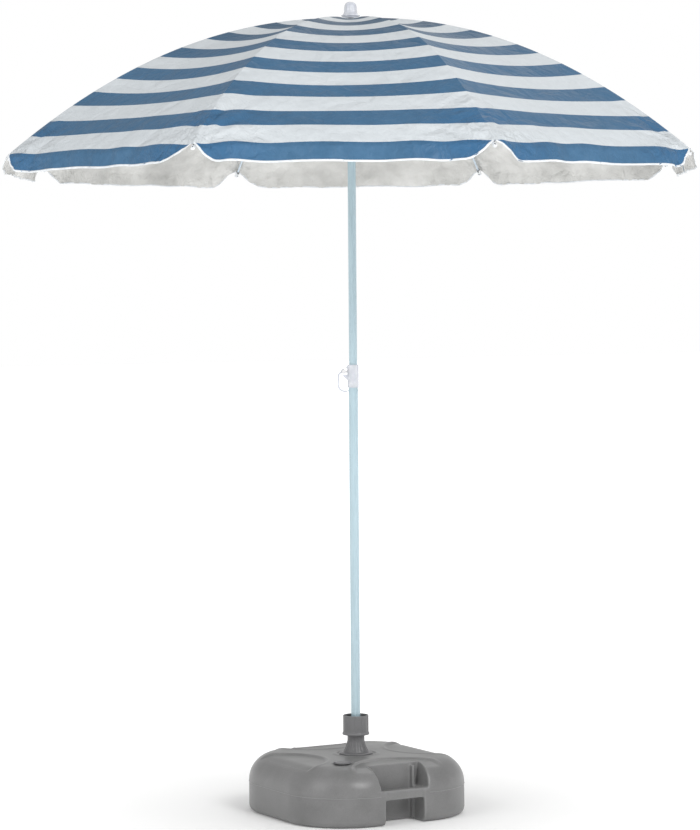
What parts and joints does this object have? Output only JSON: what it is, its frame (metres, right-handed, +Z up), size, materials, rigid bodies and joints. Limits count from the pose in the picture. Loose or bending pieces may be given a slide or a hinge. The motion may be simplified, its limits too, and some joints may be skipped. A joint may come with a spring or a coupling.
{
  "type": "beach umbrella",
  "caption": "Beach umbrella with a striped fabric dome on folding ribs, a two-part telescoping pole with a pull lock, and a square fillable base with hand grips.",
  "frame": {"origin": "on the floor, on the pole's axis, at the centre of the base", "axes": "+Z up along the pole; the base's sides lie along X and Y and its two hand grips face -Y and +Y"},
  "size_m": [1.6252, 1.6252, 1.8894],
  "materials": {
    "grey_plastic": "satin",
    "dark_plastic": "satin",
    "water": "gloss",
    "black_rubber": "matte",
    "black_plastic": "satin",
    "pale_blue_paint": "gloss",
    "white_plastic": "gloss",
    "bright_steel": "polished",
    "blue_paint_rib": "satin",
    "striped_fabric": "satin"
  },
  "bodies": {
    "base": {"base_body": "grey_plastic", "water_fill": "water", "stem": "dark_plastic"},
    "filler_gasket": {"cap_gasket": "black_rubber"},
    "filler_plug": {"filler_cap": "dark_plastic"},
    "nut_collet": {"clamp_collet": "dark_plastic"},
    "nut": {"clamp_nut": "grey_plastic"},
    "lower_pole": {"lower_tube": "pale_blue_paint", "lower_tube_plug": "dark_plastic", "collar": "white_plastic"},
    "lock": {"pull_ring": "white_plastic", "lock_peg": "bright_steel"},
    "upper_pole": {"upper_tube": "pale_blue_paint", "upper_tube_plug": "dark_plastic", "crown_hub": "white_plastic", "pivot_wire": "bright_steel", "crown_washer": "bright_steel", "finial": "white_plastic"},
    "runner_slider": {"runner": "white_plastic"},
    "rib_arm_1": {"canopy_panel_1": "striped_fabric", "rib_1": "blue_paint_rib", "rib_tip_1": "black_plastic", "rib_joint_1": "bright_steel"},
    "stretcher_arm_1": {"stretcher_1": "blue_paint_rib"},
    "rib_arm_2": {"canopy_panel_2": "striped_fabric", "rib_2": "blue_paint_rib", "rib_tip_2": "black_plastic", "rib_joint_2": "bright_steel"},
    "stretcher_arm_2": {"stretcher_2": "blue_paint_rib"},
    "rib_arm_3": {"canopy_panel_3": "striped_fabric", "rib_3": "blue_paint_rib", "rib_tip_3": "black_plastic", "rib_joint_3": "bright_steel"},
    "stretcher_arm_3": {"stretcher_3": "blue_paint_rib"},
    "rib_arm_4": {"canopy_panel_4": "striped_fabric", "rib_4": "blue_paint_rib", "rib_tip_4": "black_plastic", "rib_joint_4": "bright_steel"},
    "stretcher_arm_4": {"stretcher_4": "blue_paint_rib"},
    "rib_arm_5": {"canopy_panel_5": "striped_fabric", "rib_5": "blue_paint_rib", "rib_tip_5": "black_plastic", "rib_joint_5": "bright_steel"},
    "stretcher_arm_5": {"stretcher_5": "blue_paint_rib"},
    "rib_arm_6": {"canopy_panel_6": "striped_fabric", "rib_6": "blue_paint_rib", "rib_tip_6": "black_plastic", "rib_joint_6": "bright_steel"},
    "stretcher_arm_6": {"stretcher_6": "blue_paint_rib"},
    "rib_arm_7": {"canopy_panel_7": "striped_fabric", "rib_7": "blue_paint_rib", "rib_tip_7": "black_plastic", "rib_joint_7": "bright_steel"},
    "stretcher_arm_7": {"stretcher_7": "blue_paint_rib"},
    "rib_arm_8": {"canopy_panel_8": "striped_fabric", "rib_8": "blue_paint_rib", "rib_tip_8": "black_plastic", "rib_joint_8": "bright_steel"},
    "stretcher_arm_8": {"stretcher_8": "blue_paint_rib"}
  },
  "joints": [
    {"name": "pole_lift", "type": "slide", "parent": "base", "child": "lower_pole", "axis": [0, 0, 1], "range_m": [0, 0.2]},
    {"name": "height", "type": "slide", "parent": "lower_pole", "child": "upper_pole", "axis": [0, 0, 1], "range_m": [-0.45, 0.12]},
    {"name": "canopy_fold", "type": "slide", "parent": "upper_pole", "child": "runner_slider", "axis": [0, 0, -1], "range_m": [0, 0.5637]},
    {"name": "lock_pull", "type": "slide", "parent": "lower_pole", "child": "lock", "axis": [-0.866, 0.5, 0], "range_m": [0, 0.01], "stiffness_N_per_m": 400, "springref_m": -0.002},
    {"name": "collet_rise", "type": "slide", "parent": "base", "child": "nut_collet", "axis": [0, 0, 1], "range_m": [0, 0.004]},
    {"name": "nut_turn", "type": "hinge", "parent": "nut_collet", "child": "nut", "pos_m": [0, 0, 0.203], "axis": [0, 0, 1], "range_deg": [0, 362]},
    {"name": "gasket_rise", "type": "slide", "parent": "base", "child": "filler_gasket", "axis": [0, 0, 1], "range_m": [0, 0.008]},
    {"name": "cap_turn", "type": "hinge", "parent": "filler_gasket", "child": "filler_plug", "pos_m": [-0.105, -0.1195, 0.134], "axis": [0, 0, 1], "range_deg": [0, 725]},
    {"name": "rib_pivot_1", "type": "hinge", "parent": "upper_pole", "child": "rib_arm_1", "pos_m": [0.01581, -0.00245, 1.838], "axis": [0.153, 0.9882, 0], "range_deg": [0, 66.1], "deforming": ["canopy_panel_1"]},
    {"name": "stretcher_pivot_1", "type": "hinge", "parent": "rib_arm_1", "child": "stretcher_arm_1", "pos_m": [0.36071, -0.05584, 1.77563], "axis": [-0.153, -0.9882, 0], "range_deg": [0, 132.2]},
    {"name": "rib_pivot_2", "type": "hinge", "parent": "upper_pole", "child": "rib_arm_2", "pos_m": [0.01291, 0.00945, 1.838], "axis": [-0.5906, 0.807, 0], "range_deg": [0, 66.1], "deforming": ["canopy_panel_2"]},
    {"name": "stretcher_pivot_2", "type": "hinge", "parent": "rib_arm_2", "child": "stretcher_arm_2", "pos_m": [0.29455, 0.21557, 1.77563], "axis": [0.5906, -0.807, 0], "range_deg": [0, 132.2]},
    {"name": "rib_pivot_3", "type": "hinge", "parent": "upper_pole", "child": "rib_arm_3", "pos_m": [0.00245, 0.01581, 1.838], "axis": [-0.9882, 0.153, 0], "range_deg": [0, 66.1], "deforming": ["canopy_panel_3"]},
    {"name": "stretcher_pivot_3", "type": "hinge", "parent": "rib_arm_3", "child": "stretcher_arm_3", "pos_m": [0.05584, 0.36071, 1.77563], "axis": [0.9882, -0.153, 0], "range_deg": [0, 132.2]},
    {"name": "rib_pivot_4", "type": "hinge", "parent": "upper_pole", "child": "rib_arm_4", "pos_m": [-0.00945, 0.01291, 1.838], "axis": [-0.807, -0.5906, 0], "range_deg": [0, 66.1], "deforming": ["canopy_panel_4"]},
    {"name": "stretcher_pivot_4", "type": "hinge", "parent": "rib_arm_4", "child": "stretcher_arm_4", "pos_m": [-0.21557, 0.29455, 1.77563], "axis": [0.807, 0.5906, 0], "range_deg": [0, 132.2]},
    {"name": "rib_pivot_5", "type": "hinge", "parent": "upper_pole", "child": "rib_arm_5", "pos_m": [-0.01581, 0.00245, 1.838], "axis": [-0.153, -0.9882, 0], "range_deg": [0, 66.1], "deforming": ["canopy_panel_5"]},
    {"name": "stretcher_pivot_5", "type": "hinge", "parent": "rib_arm_5", "child": "stretcher_arm_5", "pos_m": [-0.36071, 0.05584, 1.77563], "axis": [0.153, 0.9882, 0], "range_deg": [0, 132.2]},
    {"name": "rib_pivot_6", "type": "hinge", "parent": "upper_pole", "child": "rib_arm_6", "pos_m": [-0.01291, -0.00945, 1.838], "axis": [0.5906, -0.807, 0], "range_deg": [0, 66.1], "deforming": ["canopy_panel_6"]},
    {"name": "stretcher_pivot_6", "type": "hinge", "parent": "rib_arm_6", "child": "stretcher_arm_6", "pos_m": [-0.29455, -0.21557, 1.77563], "axis": [-0.5906, 0.807, 0], "range_deg": [0, 132.2]},
    {"name": "rib_pivot_7", "type": "hinge", "parent": "upper_pole", "child": "rib_arm_7", "pos_m": [-0.00245, -0.01581, 1.838], "axis": [0.9882, -0.153, 0], "range_deg": [0, 66.1], "deforming": ["canopy_panel_7"]},
    {"name": "stretcher_pivot_7", "type": "hinge", "parent": "rib_arm_7", "child": "stretcher_arm_7", "pos_m": [-0.05584, -0.36071, 1.77563], "axis": [-0.9882, 0.153, 0], "range_deg": [0, 132.2]},
    {"name": "rib_pivot_8", "type": "hinge", "parent": "upper_pole", "child": "rib_arm_8", "pos_m": [0.00945, -0.01291, 1.838], "axis": [0.807, 0.5906, 0], "range_deg": [0, 66.1], "deforming": ["canopy_panel_8"]},
    {"name": "stretcher_pivot_8", "type": "hinge", "parent": "rib_arm_8", "child": "stretcher_arm_8", "pos_m": [0.21557, -0.29455, 1.77563], "axis": [-0.807, -0.5906, 0], "range_deg": [0, 132.2]}
  ],
  "couplings": [
    {"joint": "nut_turn", "follows": "collet_rise", "rad_per_m": 1570.8},
    {"joint": "cap_turn", "follows": "gasket_rise", "rad_per_m": 1570.8},
    {"joint": "rib_pivot_1", "follows": "canopy_fold", "rad_per_m": 2.0435},
    {"joint": "stretcher_pivot_1", "follows": "canopy_fold", "rad_per_m": 4.087},
    {"joint": "rib_pivot_2", "follows": "canopy_fold", "rad_per_m": 2.0435},
    {"joint": "stretcher_pivot_2", "follows": "canopy_fold", "rad_per_m": 4.087},
    {"joint": "rib_pivot_3", "follows": "canopy_fold", "rad_per_m": 2.0435},
    {"joint": "stretcher_pivot_3", "follows": "canopy_fold", "rad_per_m": 4.087},
    {"joint": "rib_pivot_4", "follows": "canopy_fold", "rad_per_m": 2.0435},
    {"joint": "stretcher_pivot_4", "follows": "canopy_fold", "rad_per_m": 4.087},
    {"joint": "rib_pivot_5", "follows": "canopy_fold", "rad_per_m": 2.0435},
    {"joint": "stretcher_pivot_5", "follows": "canopy_fold", "rad_per_m": 4.087},
    {"joint": "rib_pivot_6", "follows": "canopy_fold", "rad_per_m": 2.0435},
    {"joint": "stretcher_pivot_6", "follows": "canopy_fold", "rad_per_m": 4.087},
    {"joint": "rib_pivot_7", "follows": "canopy_fold", "rad_per_m": 2.0435},
    {"joint": "stretcher_pivot_7", "follows": "canopy_fold", "rad_per_m": 4.087},
    {"joint": "rib_pivot_8", "follows": "canopy_fold", "rad_per_m": 2.0435},
    {"joint": "stretcher_pivot_8", "follows": "canopy_fold", "rad_per_m": 4.087}
  ]
}
